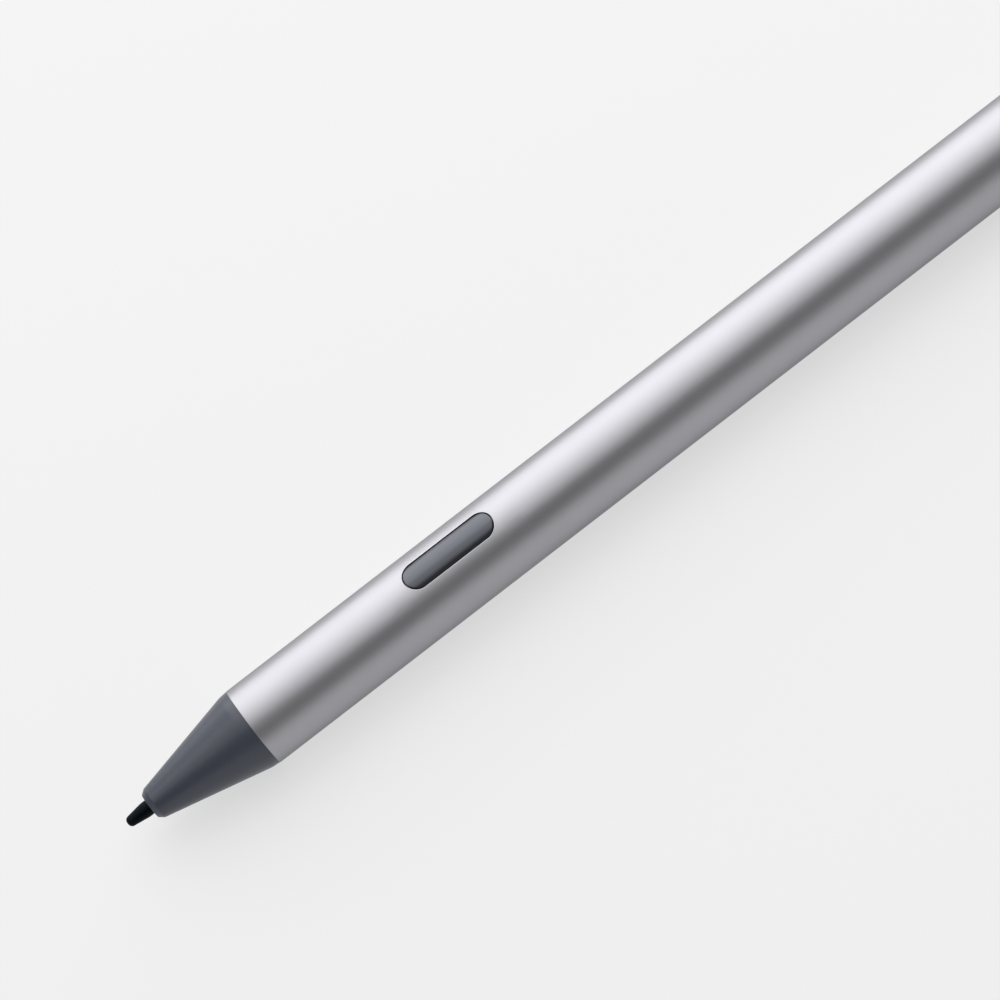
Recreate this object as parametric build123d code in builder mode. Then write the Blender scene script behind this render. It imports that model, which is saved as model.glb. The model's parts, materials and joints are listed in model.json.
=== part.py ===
from build123d import *
import os
from math import atan2, cos, dist, pi, sin, sqrt, tan

# A stylus pen that lies along X, with its nib at -X and its side button up. Sizes are in millimetres.
# Stations along the pen count from the end of the nib. Radii and heights count from the pen's axis.
# The origin is under the middle of the pen, where the barrel rests.

os.makedirs("parts", exist_ok=True)

# Cell, which the barrel is sized round
cell_diameter = 8.2
cell_length = 42.5
cell_nub_diameter = 3.8
cell_nub_height = 1.0
cell_edge = 0.4
jacket_wall = 0.1
jacket_margin = 0.6

# Barrel
cell_room = 0.2
barrel_wall = 0.6
barrel_length = 110.0
barrel_edge = 0.08

# Nose cone
cone_length = 14.3
cone_mouth_diameter = 3.66
cone_mouth_round = 0.52
cone_shoulder_run = 0.55
cone_nose_land = 3.0
cone_wall = 0.75

# Nib, which plugs into its holder
nib_reach = 3.1
nib_diameter = 1.82
nib_tip_diameter = 1.15
nib_tip_round = 0.55
nib_taper_length = 2.4
nib_shank_length = 6.5
nib_stem_diameter = 1.24
nib_stem_length = 7.0
nib_travel = 0.3

# Nib mechanism inside the cone
electrode_length = 4.5
guide_length = 3.0
holder_diameter = 2.5
holder_flange_diameter = 4.4
holder_flange_thickness = 0.8
holder_slit_width = 0.25
holder_slit_length = 3.2
socket_floor = 0.5
push_rod_diameter = 1.4
nib_spring_length = 4.6
nib_spring_wire = 0.3
nib_spring_diameter = 3.5
nib_spring_turns = 3.0
pad_diameter = 2.6
pad_thickness = 0.6
sensor_width = 3.4
sensor_length = 2.0

# Side button and its switch
button_position = 46.2
button_slot_length = 12.15
button_slot_width = 3.4
button_crown_rise = 0.2
button_crown_radius = 3.4
button_edge = 0.1
button_lip = 0.55
button_lip_thickness = 0.5
button_post_width = 1.8
button_travel = 0.3
switch_length = 4.0
switch_width = 3.0
switch_height = 1.6
switch_terminal_length = 0.7
switch_terminal_width = 0.6
switch_terminal_thickness = 0.2
plunger_width = 1.4
plunger_rise = 0.45
plunger_length = 1.1

# Chassis, circuit board and what is on the board
carrier_wall = 0.65
carrier_front_wall = 1.5
carrier_rear_wall = 2.0
carrier_rib = 1.4
carrier_pocket_depth = 2.2
nose_wall = 1.0
nose_back_wall = 0.7
board_seat = -0.4
board_thickness = 0.8
board_margin = 0.7
screw_inset = 2.2
screw_diameter = 1.1
screw_length = 3.2
screw_head_diameter = 2.0
screw_head_height = 0.5
controller_width = 4.0
controller_height = 0.8
driver_width = 3.0
driver_height = 0.75
crystal_length = 2.0
crystal_width = 1.6
crystal_height = 0.5
capacitor_length = 1.0
capacitor_width = 0.5
capacitor_height = 0.5
capacitor_pitch = 1.5

# Front contact of the cell
contact_diameter = 5.6
contact_thickness = 0.3
contact_dimple_diameter = 2.2
contact_dimple_height = 0.5
contact_dimple_taper = 30.0
contact_tab_width = 1.6

# Tail that pulls off, and its end button
tail_sleeve_length = 15.7
tail_sleeve_edge = 0.4
tail_lip = 0.35
tail_lip_thickness = 1.2
tail_spigot_length = 7.0
tail_plug_hold = 6.5
tail_plug_wall = 1.05
tail_plug_pocket_depth = 3.0
tail_lead_diameter = 1.6
o_ring_section = 0.86
o_ring_sides = 6
o_ring_inset = 3.2
battery_spring_length = 2.9
battery_spring_recess = 0.6
battery_spring_wire = 0.5
battery_spring_small_diameter = 3.4
battery_spring_turns = 2.5
tail_board_thickness = 0.8
radio_width = 3.0
radio_height = 0.75
tail_switch_width = 3.6
tail_switch_height = 1.4
tail_plunger_rise = 0.6
tail_plunger_length = 1.1
tail_button_reach = 2.8
tail_button_dome = 0.55
tail_button_edge = 0.5
tail_button_wall = 0.9
tail_button_flange_thickness = 1.7
tail_post_diameter = 1.8
tail_button_travel = 0.5
tail_spring_wire = 0.4
tail_spring_turns = 2.5

# Spring wire is drawn with this many sides
wire_sides = 4

# Clearances
fixed_gap = 0.03
sliding_gap = 0.06
button_gap = 0.18
lip_gap = 0.1
seam_gap = 0.1
end_gap = 0.05
board_gap = 0.3
spring_gap = 0.05

# Radii that the pieces share
cell_radius = cell_diameter / 2
bore_radius = cell_radius + cell_room
barrel_radius = bore_radius + barrel_wall
barrel_diameter = 2 * barrel_radius
nib_radius = nib_diameter / 2
nose_hole_radius = nib_radius + sliding_gap
holder_radius = holder_diameter / 2
spigot_radius = bore_radius - fixed_gap
carrier_radius = bore_radius - sliding_gap
can_radius = cell_radius - jacket_wall - fixed_gap

# Stations from the end of the nib to the end of the tail
cone_front = nib_reach
cone_rear = cone_front + cone_length
barrel_rear = cone_rear + barrel_length
sleeve_front = barrel_rear + seam_gap
sleeve_rear = sleeve_front + tail_sleeve_length
overall_length = sleeve_rear + tail_button_reach
electrode_front = cone_front + cone_nose_land
guide_front = electrode_front + electrode_length
guide_rear = guide_front + guide_length
holder_front = cone_front + nib_shank_length
stem_rear = holder_front + nib_stem_length
flange_rear = guide_rear + holder_flange_thickness
socket_rear = stem_rear + end_gap
holder_rear = socket_rear + socket_floor
nose_front = flange_rear + nib_spring_length
pocket_front = nose_front + nose_wall
pad_front = pocket_front + end_gap
sensor_front = pad_front + pad_thickness
sensor_rear = sensor_front + sensor_length
cone_spigot_rear = sensor_rear + end_gap + nose_back_wall
push_rod_rear = pad_front - nib_travel - end_gap
plug_front = barrel_rear - tail_spigot_length
cell_rear = plug_front - battery_spring_length
cell_front = cell_rear - cell_length
chassis_rear = cell_front - contact_dimple_height - contact_thickness
rear_wall_front = chassis_rear - carrier_rear_wall
carrier_front = cone_spigot_rear + carrier_front_wall
board_front = carrier_front + board_gap
board_rear = rear_wall_front - board_gap
board_length = board_rear - board_front
board_middle = (board_front + board_rear) / 2
plug_rear = sleeve_front + tail_plug_hold
tail_board_rear = plug_rear + tail_board_thickness
tail_switch_rear = tail_board_rear + tail_switch_height
tail_plunger_rear = tail_switch_rear + tail_plunger_rise
lip_front = sleeve_rear - tail_lip_thickness
button_flange_rear = lip_front - end_gap
button_flange_front = button_flange_rear - tail_button_flange_thickness

# Heights above the axis
board_top = board_seat + board_thickness
board_width = 2 * (sqrt(carrier_radius**2 - board_seat**2) - board_margin)
switch_top = board_top + switch_height
plunger_top = switch_top + plunger_rise

# The cone's taper and the radii inside it
taper_run = cone_length - cone_shoulder_run
mouth_radius = cone_mouth_diameter / 2
taper_rise = barrel_radius - mouth_radius
taper_angle = atan2(taper_rise, taper_run)
shoulder_round = (cone_shoulder_run - fixed_gap) / tan(taper_angle / 2)


def cone_radius(station):
    """Outside radius of the cone at a station on its taper."""
    return mouth_radius + (station - cone_front) * tan(taper_angle)


taper_front = cone_front + cone_mouth_round * cos(taper_angle)
taper_start = (taper_front, cone_radius(taper_front))
electrode_outer_radius = cone_radius(electrode_front) - cone_wall
cavity_radius = cone_radius(guide_front) - cone_wall
chassis_nose_radius = cavity_radius - fixed_gap

# Planes: along the pen through its axis, across it at a station, and level at a height
tip_x = -overall_length / 2
pen_axis = Axis((tip_x, 0, barrel_radius), (1, 0, 0))
lengthwise = Plane(origin=(tip_x, 0, barrel_radius), x_dir=(1, 0, 0), z_dir=(0, -1, 0))


def across(station):
    """Plane square to the pen: its x runs along Y and its y runs up."""
    return Plane(origin=(tip_x + station, 0, barrel_radius), x_dir=(0, 1, 0), z_dir=(1, 0, 0))


def level(height):
    """Flat plane at a height above the axis: its x counts the stations."""
    return Plane(origin=(tip_x, 0, barrel_radius + height), x_dir=(1, 0, 0), z_dir=(0, 0, 1))


def coil_points(front, rear, front_radius, rear_radius, turns):
    """Places and directions on a coil round the pen's axis, at every quarter turn."""
    places = []
    directions = []
    quarters = round(4 * turns)
    advance = (rear - front) / (2 * pi * turns)
    spread = (rear_radius - front_radius) / (2 * pi * turns)
    for quarter in range(quarters + 1):
        angle = quarter * 2 * pi * turns / quarters
        radius = front_radius + spread * angle
        places.append(
            Vector(
                tip_x + front + advance * angle,
                radius * cos(angle),
                barrel_radius + radius * sin(angle),
            )
        )
        directions.append(
            Vector(
                advance,
                spread * cos(angle) - radius * sin(angle),
                spread * sin(angle) + radius * cos(angle),
            ).normalized()
        )
    return places, directions


def draw_coil(places, directions):
    """Draws two tangent arcs over each quarter turn, in the open line."""
    for start, end, leave, arrive in zip(places, places[1:], directions, directions[1:]):
        chord = end - start
        both = leave + arrive
        opening = 2 * (1 - leave.dot(arrive))
        along = chord.dot(both)
        reach = (sqrt(along**2 + opening * chord.dot(chord)) - along) / opening
        first_corner = start + leave * reach
        second_corner = end - arrive * reach
        middle = (first_corner + second_corner) * 0.5
        TangentArc(start, middle, tangent=leave)
        TangentArc(middle, end, tangent=second_corner - middle)


def print_coil_gap(name, places, wire, turns):
    """Prints the least gap between a coil's neighbouring turns, measured on its points."""
    one_turn = round((len(places) - 1) / turns)
    gaps = [dist(tuple(a), tuple(b)) - wire for a, b in zip(places, places[one_turn:])]
    print(name, "least gap between turns", round(min(gaps), 2), "mm")


# Barrel: a tube with the side button's slot through its upper wall
with BuildPart() as barrel:
    with BuildSketch(lengthwise) as barrel_profile:
        with Locations(((cone_rear + barrel_rear) / 2, barrel_radius - barrel_wall / 2)):
            Rectangle(barrel_length, barrel_wall)
        chamfer(barrel_profile.vertices().group_by(Axis.Y)[-1], length=barrel_edge)
    revolve(axis=pen_axis)
    with BuildSketch(level(0)):
        with Locations((button_position, 0)):
            SlotOverall(button_slot_length, button_slot_width)
    extrude(amount=barrel_diameter, mode=Mode.SUBTRACT)
barrel.part.label = "barrel"
export_step(barrel.part, "parts/barrel.step")

# Nose cone: a taper that rounds into the barrel, with a stepped bore and a spigot
with BuildPart() as nose_cone:
    with BuildSketch(lengthwise):
        with BuildLine():
            Line((cone_front, nose_hole_radius), (cone_front, mouth_radius - cone_mouth_round))
            Bezier((cone_front, mouth_radius - cone_mouth_round), (cone_front, mouth_radius), taper_start)
            FilletPolyline(
                taper_start,
                (cone_front + taper_run, barrel_radius),
                (cone_rear, barrel_radius),
                radius=shoulder_round,
            )
            Polyline(
                (cone_rear, barrel_radius),
                (cone_rear, spigot_radius),
                (cone_spigot_rear, spigot_radius),
                (cone_spigot_rear, cavity_radius),
                (guide_front, cavity_radius),
                (guide_front, electrode_outer_radius),
                (electrode_front, electrode_outer_radius),
                (electrode_front, nose_hole_radius),
                (cone_front, nose_hole_radius),
            )
        make_face()
    revolve(axis=pen_axis)
nose_cone.part.label = "nose_cone"
export_step(nose_cone.part, "parts/nose_cone.step")

# Ring electrode: a sleeve round the nib, on the step inside the cone
with BuildPart() as ring_electrode:
    with BuildSketch(across(electrode_front)):
        Circle(electrode_outer_radius - fixed_gap)
        Circle(holder_radius + lip_gap, mode=Mode.SUBTRACT)
    extrude(amount=electrode_length)
ring_electrode.part.label = "ring_electrode"
export_step(ring_electrode.part, "parts/ring_electrode.step")

# Guide bush that the nib holder slides in
with BuildPart() as nib_guide_bush:
    with BuildSketch(across(guide_front)):
        Circle(cavity_radius - fixed_gap)
        Circle(holder_radius + sliding_gap, mode=Mode.SUBTRACT)
    extrude(amount=guide_length)
nib_guide_bush.part.label = "nib_guide_bush"
export_step(nib_guide_bush.part, "parts/nib_guide_bush.step")

# Nib: a rounded, tapered point on a shank, with the thinner stem that plugs into the holder
with BuildPart() as nib:
    with BuildSketch(lengthwise):
        with BuildLine():
            FilletPolyline(
                (0, 0),
                (0, nib_tip_diameter / 2),
                (nib_taper_length, nib_radius),
                (holder_front, nib_radius),
                (holder_front, nib_stem_diameter / 2),
                (stem_rear, nib_stem_diameter / 2),
                (stem_rear, 0),
                radius=[nib_tip_round, nib_taper_length, 0, 0, 0],
            )
            Line((stem_rear, 0), (0, 0))
        make_face()
    revolve(axis=pen_axis)
nib.part.label = "nib"
export_step(nib.part, "parts/nib.step")

# Nib holder: a slit socket, the flange that the spring pushes on and the rod that presses the sensor
with BuildPart() as nib_holder:
    with BuildSketch(lengthwise):
        with BuildLine():
            Polyline(
                (holder_front, nib_stem_diameter / 2 + fixed_gap),
                (holder_front, holder_radius),
                (guide_rear, holder_radius),
                (guide_rear, holder_flange_diameter / 2),
                (flange_rear, holder_flange_diameter / 2),
                (flange_rear, holder_radius),
                (holder_rear, holder_radius),
                (holder_rear, push_rod_diameter / 2),
                (push_rod_rear, push_rod_diameter / 2),
                (push_rod_rear, 0),
                (socket_rear, 0),
                (socket_rear, nib_stem_diameter / 2 + fixed_gap),
                close=True,
            )
        make_face()
    revolve(axis=pen_axis)
    with BuildSketch(across(holder_front)):
        Rectangle(holder_diameter, holder_slit_width)
        Rectangle(holder_slit_width, holder_diameter)
    extrude(amount=holder_slit_length, mode=Mode.SUBTRACT)
nib_holder.part.label = "nib_holder"
export_step(nib_holder.part, "parts/nib_holder.step")

# Nib spring, between the holder's flange and the chassis
nib_coil, nib_coil_ways = coil_points(
    flange_rear + nib_spring_wire / 2 + spring_gap,
    nose_front - nib_spring_wire / 2 - spring_gap,
    nib_spring_diameter / 2,
    nib_spring_diameter / 2,
    nib_spring_turns,
)
with BuildPart() as nib_spring:
    with BuildLine() as nib_spring_path:
        draw_coil(nib_coil, nib_coil_ways)
    with BuildSketch(Plane(origin=nib_coil[0], z_dir=nib_coil_ways[0])):
        RegularPolygon(nib_spring_wire / 2, wire_sides)
    sweep(path=nib_spring_path.wire())
print_coil_gap("nib_spring", nib_coil, nib_spring_wire, nib_spring_turns)
nib_spring.part.label = "nib_spring"
export_step(nib_spring.part, "parts/nib_spring.step")

# Soft pad and the force sensor behind it
with BuildPart() as pressure_pad:
    with BuildSketch(across(pad_front)):
        Circle(pad_diameter / 2)
    extrude(amount=pad_thickness)
pressure_pad.part.label = "pressure_pad"
export_step(pressure_pad.part, "parts/pressure_pad.step")

with BuildPart() as pressure_sensor:
    with BuildSketch(across(sensor_front)):
        Rectangle(sensor_width, sensor_width)
    extrude(amount=sensor_length)
pressure_sensor.part.label = "pressure_sensor"
export_step(pressure_sensor.part, "parts/pressure_sensor.step")

# Chassis: a trough under the board with a wall at each end, and a nose that holds the sensor in the cone
screw_stations = [board_front + screw_inset, board_rear - screw_inset]
rib_stations = [screw_stations[0], (screw_stations[0] + button_position) / 2, button_position]
rib_stations += [(button_position + screw_stations[1]) / 2, screw_stations[1]]
with BuildPart() as chassis:
    with BuildSketch(across(cone_spigot_rear)):
        Circle(carrier_radius)
        with Locations((0, board_seat)):
            Rectangle(barrel_diameter, barrel_diameter, align=(Align.CENTER, Align.MIN), mode=Mode.SUBTRACT)
    extrude(amount=chassis_rear - cone_spigot_rear)
    with BuildSketch(level(board_seat)):
        for front_rib, rear_rib in zip(rib_stations, rib_stations[1:]):
            with Locations(((front_rib + rear_rib) / 2, 0)):
                Rectangle(
                    rear_rib - front_rib - carrier_rib,
                    2 * (sqrt(carrier_radius**2 - (carrier_pocket_depth - board_seat) ** 2) - carrier_wall),
                )
    extrude(amount=-carrier_pocket_depth, mode=Mode.SUBTRACT)
    with BuildSketch(across(cone_spigot_rear)):
        Circle(carrier_radius)
    extrude(amount=carrier_front_wall)
    with BuildSketch(across(rear_wall_front)):
        Circle(carrier_radius)
    extrude(amount=carrier_rear_wall)
    with BuildSketch(across(nose_front)):
        Circle(chassis_nose_radius)
    extrude(amount=cone_spigot_rear - nose_front)
    with BuildSketch(across(nose_front)):
        Circle(push_rod_diameter / 2 + 2 * lip_gap)
    extrude(amount=nose_wall, mode=Mode.SUBTRACT)
    with BuildSketch(level(-sensor_width / 2 - end_gap)):
        with Locations((pocket_front, 0)):
            Rectangle(
                sensor_rear + end_gap - pocket_front,
                sensor_width + 2 * end_gap,
                align=(Align.MIN, Align.CENTER),
            )
    extrude(amount=barrel_diameter, mode=Mode.SUBTRACT)
    with BuildSketch(level(board_top)):
        with Locations((chassis_rear, 0)):
            Rectangle(
                carrier_rear_wall,
                contact_tab_width + 2 * end_gap,
                align=(Align.MAX, Align.CENTER),
            )
    extrude(amount=contact_thickness + end_gap, mode=Mode.SUBTRACT)
    with BuildSketch(level(board_seat)):
        with Locations([(station, 0) for station in screw_stations]):
            Circle(screw_diameter / 2 + fixed_gap)
    extrude(amount=-(screw_length - board_thickness + end_gap), mode=Mode.SUBTRACT)
chassis.part.label = "chassis"
export_step(chassis.part, "parts/chassis.step")

# Circuit board, screwed down on the chassis
with BuildPart() as main_board:
    with BuildSketch(level(board_seat)):
        with Locations((board_middle, 0)):
            Rectangle(board_length, board_width)
        with Locations([(station, 0) for station in screw_stations]):
            Circle(screw_diameter / 2 + sliding_gap, mode=Mode.SUBTRACT)
    extrude(amount=board_thickness)
main_board.part.label = "main_board"
export_step(main_board.part, "parts/main_board.step")

with BuildPart() as board_screws:
    with BuildSketch(level(board_top)):
        with Locations([(station, 0) for station in screw_stations]):
            Circle(screw_diameter / 2)
    extrude(amount=-screw_length)
    with BuildSketch(level(board_top)):
        with Locations([(station, 0) for station in screw_stations]):
            Circle(screw_head_diameter / 2)
    extrude(amount=screw_head_height)
board_screws.part.label = "board_screws"
export_step(board_screws.part, "parts/board_screws.step")

# Chips and small parts: two on the board between the front screw and the switch, the rest in pockets below
free_front = screw_stations[0] + screw_head_diameter / 2
free_rear = button_position - switch_length / 2 - switch_terminal_length
free_gap = (free_rear - free_front - controller_width - crystal_length) / 3
with BuildPart() as controller_chip:
    with BuildSketch(level(board_top)):
        with Locations((free_front + free_gap + controller_width / 2, 0)):
            Rectangle(controller_width, controller_width)
    extrude(amount=controller_height)
controller_chip.part.label = "controller_chip"
export_step(controller_chip.part, "parts/controller_chip.step")

with BuildPart() as driver_chip:
    with BuildSketch(level(board_seat)):
        with Locations(((rib_stations[0] + rib_stations[1]) / 2, 0)):
            Rectangle(driver_width, driver_width)
    extrude(amount=-driver_height)
driver_chip.part.label = "driver_chip"
export_step(driver_chip.part, "parts/driver_chip.step")

with BuildPart() as crystal_can:
    with BuildSketch(level(board_top)):
        with Locations((free_rear - free_gap - crystal_length / 2, 0)):
            Rectangle(crystal_length, crystal_width)
    extrude(amount=crystal_height)
crystal_can.part.label = "crystal_can"
export_step(crystal_can.part, "parts/crystal_can.step")

with BuildPart() as board_capacitors:
    with BuildSketch(level(board_seat)):
        with Locations(((rib_stations[1] + rib_stations[2]) / 2, 0)):
            with GridLocations(capacitor_pitch, capacitor_pitch, 2, 3):
                Rectangle(capacitor_length, capacitor_width)
    extrude(amount=-capacitor_height)
board_capacitors.part.label = "board_capacitors"
export_step(board_capacitors.part, "parts/board_capacitors.step")

# Switch under the side button, and its plunger
with BuildPart() as side_switch:
    with BuildSketch(level(board_top)):
        with Locations((button_position, 0)):
            Rectangle(switch_length, switch_width)
    extrude(amount=switch_height)
    with BuildSketch(level(switch_top)):
        with Locations((button_position, 0)):
            Rectangle(plunger_width + 2 * sliding_gap, plunger_width + 2 * sliding_gap)
    extrude(amount=plunger_rise - plunger_length - button_travel - end_gap, mode=Mode.SUBTRACT)
    with BuildSketch(level(board_top)):
        with Locations((button_position, 0)):
            with GridLocations(switch_length, switch_width / 2, 2, 2):
                Rectangle(2 * switch_terminal_length, switch_terminal_width)
    extrude(amount=switch_terminal_thickness)
side_switch.part.label = "side_switch"
export_step(side_switch.part, "parts/side_switch.step")

with BuildPart() as side_switch_plunger:
    with BuildSketch(level(plunger_top)):
        with Locations((button_position, 0)):
            Rectangle(plunger_width, plunger_width)
    extrude(amount=-plunger_length)
side_switch_plunger.part.label = "side_switch_plunger"
export_step(side_switch_plunger.part, "parts/side_switch_plunger.step")

# Side button: a crowned pill in the slot, a lip that the barrel's wall holds and a post on the plunger
button_length = button_slot_length - 2 * button_gap
button_width = button_slot_width - 2 * button_gap
lip_outer_radius = bore_radius - lip_gap
lip_inner_radius = lip_outer_radius - button_lip_thickness
crown_axis_height = barrel_radius + button_crown_rise - button_crown_radius
with BuildPart() as side_button:
    with BuildSketch(across(button_position - button_length / 2)):
        with Locations((0, crown_axis_height)):
            Circle(button_crown_radius)
    extrude(amount=button_length)
    with BuildSketch(level(lip_inner_radius)):
        with Locations((button_position, 0)):
            SlotOverall(button_length, button_width)
    extrude(amount=barrel_radius, mode=Mode.INTERSECT)
    chamfer(side_button.faces().sort_by(Axis.Z)[-1].edges(), length=button_edge)
    with BuildSketch(across(button_position - button_slot_length / 2 - button_lip)):
        Circle(lip_outer_radius)
        Circle(lip_inner_radius, mode=Mode.SUBTRACT)
        Rectangle(
            button_slot_width + 2 * button_lip,
            barrel_diameter,
            align=(Align.CENTER, Align.MIN),
            mode=Mode.INTERSECT,
        )
    extrude(amount=button_slot_length + 2 * button_lip)
    with BuildSketch(level(plunger_top)):
        with Locations((button_position, 0)):
            Rectangle(button_post_width, button_post_width)
    extrude(amount=lip_inner_radius + button_lip_thickness / 2 - plunger_top)
side_button.part.label = "side_button"
export_step(side_button.part, "parts/side_button.step")

# Front contact: a dimpled plate behind the chassis, with a tab onto the board
with BuildPart() as front_contact:
    with BuildSketch(across(chassis_rear)):
        Circle(contact_diameter / 2)
    extrude(amount=contact_thickness)
    with BuildSketch(across(chassis_rear + contact_thickness)):
        Circle(contact_dimple_diameter / 2)
    extrude(amount=contact_dimple_height, taper=contact_dimple_taper)
    with BuildSketch(level(board_top)):
        with Locations((chassis_rear + contact_thickness, 0)):
            Rectangle(
                contact_thickness + chassis_rear - screw_stations[1] - screw_head_diameter / 2 - lip_gap,
                contact_tab_width,
                align=(Align.MAX, Align.CENTER),
            )
    extrude(amount=contact_thickness)
front_contact.part.label = "front_contact"
export_step(front_contact.part, "parts/front_contact.step")

# Cell: a steel can with a nub, in a thin jacket
with BuildPart() as battery_cell:
    with BuildSketch(lengthwise):
        with BuildLine():
            Polyline(
                (cell_front, 0),
                (cell_front, cell_nub_diameter / 2),
                (cell_front + cell_nub_height, cell_nub_diameter / 2),
                (cell_front + cell_nub_height, can_radius - cell_edge),
                (cell_front + cell_nub_height + cell_edge, can_radius),
                (cell_rear - cell_edge, can_radius),
                (cell_rear, can_radius - cell_edge),
                (cell_rear, 0),
                close=True,
            )
        make_face()
    revolve(axis=pen_axis)
battery_cell.part.label = "battery_cell"
export_step(battery_cell.part, "parts/battery_cell.step")

with BuildPart() as battery_jacket:
    with BuildSketch(lengthwise):
        with Locations((cell_front + cell_nub_height + jacket_margin, cell_radius)):
            Rectangle(
                cell_length - cell_nub_height - 2 * jacket_margin,
                jacket_wall,
                align=(Align.MIN, Align.MAX),
            )
    revolve(axis=pen_axis)
battery_jacket.part.label = "battery_jacket"
export_step(battery_jacket.part, "parts/battery_jacket.step")

# Tail sleeve: the end of the barrel, with a lip round the end button
tail_lip_radius = bore_radius - tail_lip
with BuildPart() as tail_sleeve:
    with BuildSketch(lengthwise) as sleeve_profile:
        with BuildLine():
            Polyline(
                (sleeve_front, bore_radius),
                (sleeve_front, barrel_radius),
                (sleeve_rear, barrel_radius),
                (sleeve_rear, tail_lip_radius),
                (lip_front, tail_lip_radius),
                (lip_front, bore_radius),
                close=True,
            )
        make_face()
        outer_corners = sleeve_profile.vertices().group_by(Axis.Y)[-1].sort_by(Axis.X)
        chamfer(outer_corners[0], length=barrel_edge)
        chamfer(sleeve_profile.vertices().group_by(Axis.Y)[-1].sort_by(Axis.X)[-1], length=tail_sleeve_edge)
    revolve(axis=pen_axis)
tail_sleeve.part.label = "tail_sleeve"
export_step(tail_sleeve.part, "parts/tail_sleeve.step")

# Tail plug: held in the sleeve, with a grooved spigot that slides into the barrel
tail_spigot_radius = bore_radius - sliding_gap
o_ring_outer_radius = bore_radius - fixed_gap
groove_floor_radius = o_ring_outer_radius - o_ring_section - fixed_gap
groove_front = plug_front + o_ring_inset
groove_width = o_ring_section + 2 * lip_gap
pocket_radius = tail_spigot_radius - tail_plug_wall
with BuildPart() as tail_plug:
    with BuildSketch(lengthwise):
        with BuildLine():
            Polyline(
                (plug_front + battery_spring_recess, tail_lead_diameter / 2),
                (plug_front + battery_spring_recess, pocket_radius),
                (plug_front, pocket_radius),
                (plug_front, tail_spigot_radius),
                (groove_front, tail_spigot_radius),
                (groove_front, groove_floor_radius),
                (groove_front + groove_width, groove_floor_radius),
                (groove_front + groove_width, tail_spigot_radius),
                (plug_rear, tail_spigot_radius),
                (plug_rear, pocket_radius),
                (plug_rear - tail_plug_pocket_depth, pocket_radius),
                (plug_rear - tail_plug_pocket_depth, tail_lead_diameter / 2),
                close=True,
            )
        make_face()
    revolve(axis=pen_axis)
tail_plug.part.label = "tail_plug"
export_step(tail_plug.part, "parts/tail_plug.step")

with BuildPart() as tail_o_ring:
    with BuildSketch(lengthwise):
        with Locations((groove_front + groove_width / 2, o_ring_outer_radius - o_ring_section / 2)):
            RegularPolygon(o_ring_section / 2, o_ring_sides, rotation=90)
    revolve(axis=pen_axis)
tail_o_ring.part.label = "tail_o_ring"
export_step(tail_o_ring.part, "parts/tail_o_ring.step")

# Battery spring: a conical coil on the plug
battery_coil, battery_coil_ways = coil_points(
    cell_rear + battery_spring_wire / 2 + spring_gap,
    plug_front + battery_spring_recess - battery_spring_wire / 2 - spring_gap,
    battery_spring_small_diameter / 2,
    pocket_radius - battery_spring_wire / 2 - lip_gap,
    battery_spring_turns,
)
with BuildPart() as battery_spring:
    with BuildLine() as battery_spring_path:
        draw_coil(battery_coil, battery_coil_ways)
    with BuildSketch(Plane(origin=battery_coil[0], z_dir=battery_coil_ways[0])):
        RegularPolygon(battery_spring_wire / 2, wire_sides)
    sweep(path=battery_spring_path.wire())
print_coil_gap("battery_spring", battery_coil, battery_spring_wire, battery_spring_turns)
battery_spring.part.label = "battery_spring"
export_step(battery_spring.part, "parts/battery_spring.step")

# Round board behind the plug, with the radio chip in front and the end button's switch behind
with BuildPart() as tail_board:
    with BuildSketch(across(plug_rear)):
        Circle(bore_radius - lip_gap)
    extrude(amount=tail_board_thickness)
tail_board.part.label = "tail_board"
export_step(tail_board.part, "parts/tail_board.step")

with BuildPart() as radio_chip:
    with BuildSketch(across(plug_rear)):
        Rectangle(radio_width, radio_width)
    extrude(amount=-radio_height)
radio_chip.part.label = "radio_chip"
export_step(radio_chip.part, "parts/radio_chip.step")

with BuildPart() as tail_switch:
    with BuildSketch(across(tail_board_rear)):
        Rectangle(tail_switch_width, tail_switch_width)
    extrude(amount=tail_switch_height)
    with BuildSketch(across(tail_switch_rear)):
        Rectangle(plunger_width + 2 * sliding_gap, plunger_width + 2 * sliding_gap)
    extrude(amount=tail_plunger_rise - tail_plunger_length - tail_button_travel - end_gap, mode=Mode.SUBTRACT)
tail_switch.part.label = "tail_switch"
export_step(tail_switch.part, "parts/tail_switch.step")

with BuildPart() as tail_switch_plunger:
    with BuildSketch(across(tail_plunger_rear)):
        Rectangle(plunger_width, plunger_width)
    extrude(amount=-tail_plunger_length)
tail_switch_plunger.part.label = "tail_switch_plunger"
export_step(tail_switch_plunger.part, "parts/tail_switch_plunger.step")

# End button: a domed cap whose flange the sleeve's lip holds, with a post on the plunger
head_radius = tail_lip_radius - sliding_gap
head_edge = overall_length - tail_button_dome
cup_radius = head_radius - tail_button_wall
cup_floor = head_edge - tail_button_wall
flange_radius = bore_radius - lip_gap
dome_radius = (head_radius**2 + tail_button_dome**2) / (2 * tail_button_dome)
with BuildPart() as tail_button:
    with BuildSketch(lengthwise) as button_profile:
        with BuildLine():
            Polyline(
                (overall_length, 0),
                (tail_plunger_rear, 0),
                (tail_plunger_rear, tail_post_diameter / 2),
                (cup_floor, tail_post_diameter / 2),
                (cup_floor, cup_radius),
                (button_flange_front, cup_radius),
                (button_flange_front, flange_radius),
                (button_flange_rear, flange_radius),
                (button_flange_rear, head_radius),
                (head_edge, head_radius),
            )
            RadiusArc((head_edge, head_radius), (overall_length, 0), dome_radius)
        make_face()
        head_corner = button_profile.vertices().sort_by_distance((head_edge, head_radius))[0]
        chamfer(head_corner, length=tail_button_edge)
    revolve(axis=pen_axis)
tail_button.part.label = "tail_button"
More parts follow.
